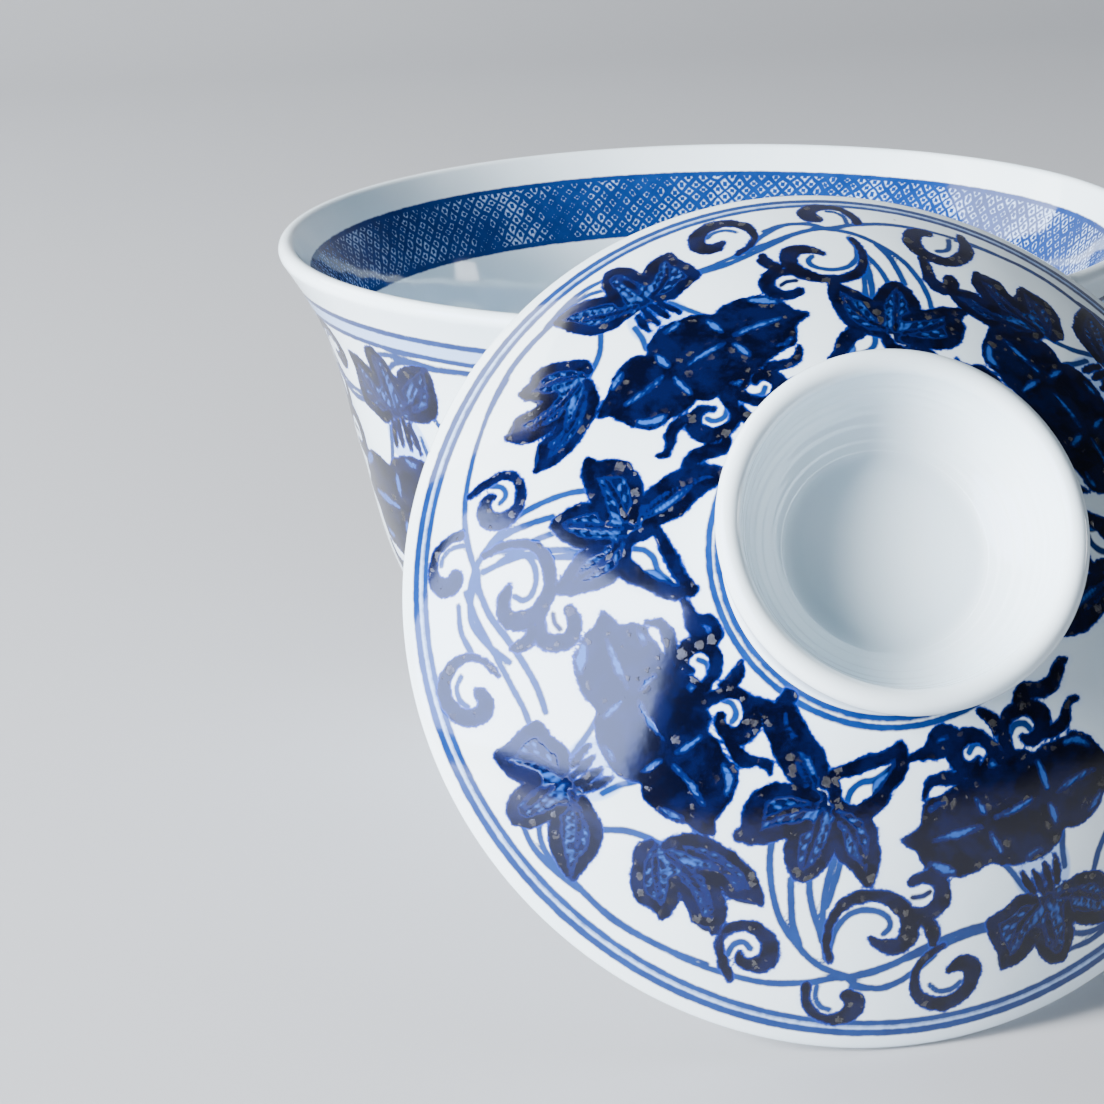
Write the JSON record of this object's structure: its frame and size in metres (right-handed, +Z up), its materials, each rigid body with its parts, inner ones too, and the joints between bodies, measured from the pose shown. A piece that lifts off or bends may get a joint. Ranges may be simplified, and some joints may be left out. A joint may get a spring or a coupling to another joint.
{
  "type": "gaiwan",
  "caption": "Flared porcelain tea bowl on a turned foot ring, with a domed lid whose hollow ring knob faces out as the lid leans on the bowl.",
  "frame": {"origin": "on the bowl's axis, on the plane that the foot ring stands on", "axes": "+Z up along the bowl's axis; the lid leans on the bowl from the -Y side; X across, and the object is symmetric about X = 0"},
  "size_m": [0.1, 0.1418, 0.0721],
  "materials": {
    "painted_porcelain": "gloss",
    "white_porcelain": "gloss",
    "foot_porcelain": "gloss, bare where it stands"
  },
  "bodies": {
    "bowl": {"bowl_body": "painted_porcelain", "bowl_foot_ring": "foot_porcelain"},
    "lid": {"lid_dome": "painted_porcelain", "lid_knob": "white_porcelain"}
  },
  "joints": [
    {"name": "lid_lift", "type": "slide", "parent": "bowl", "child": "lid", "axis": [0, 0, 1], "range_m": [0, 0.09]}
  ]
}
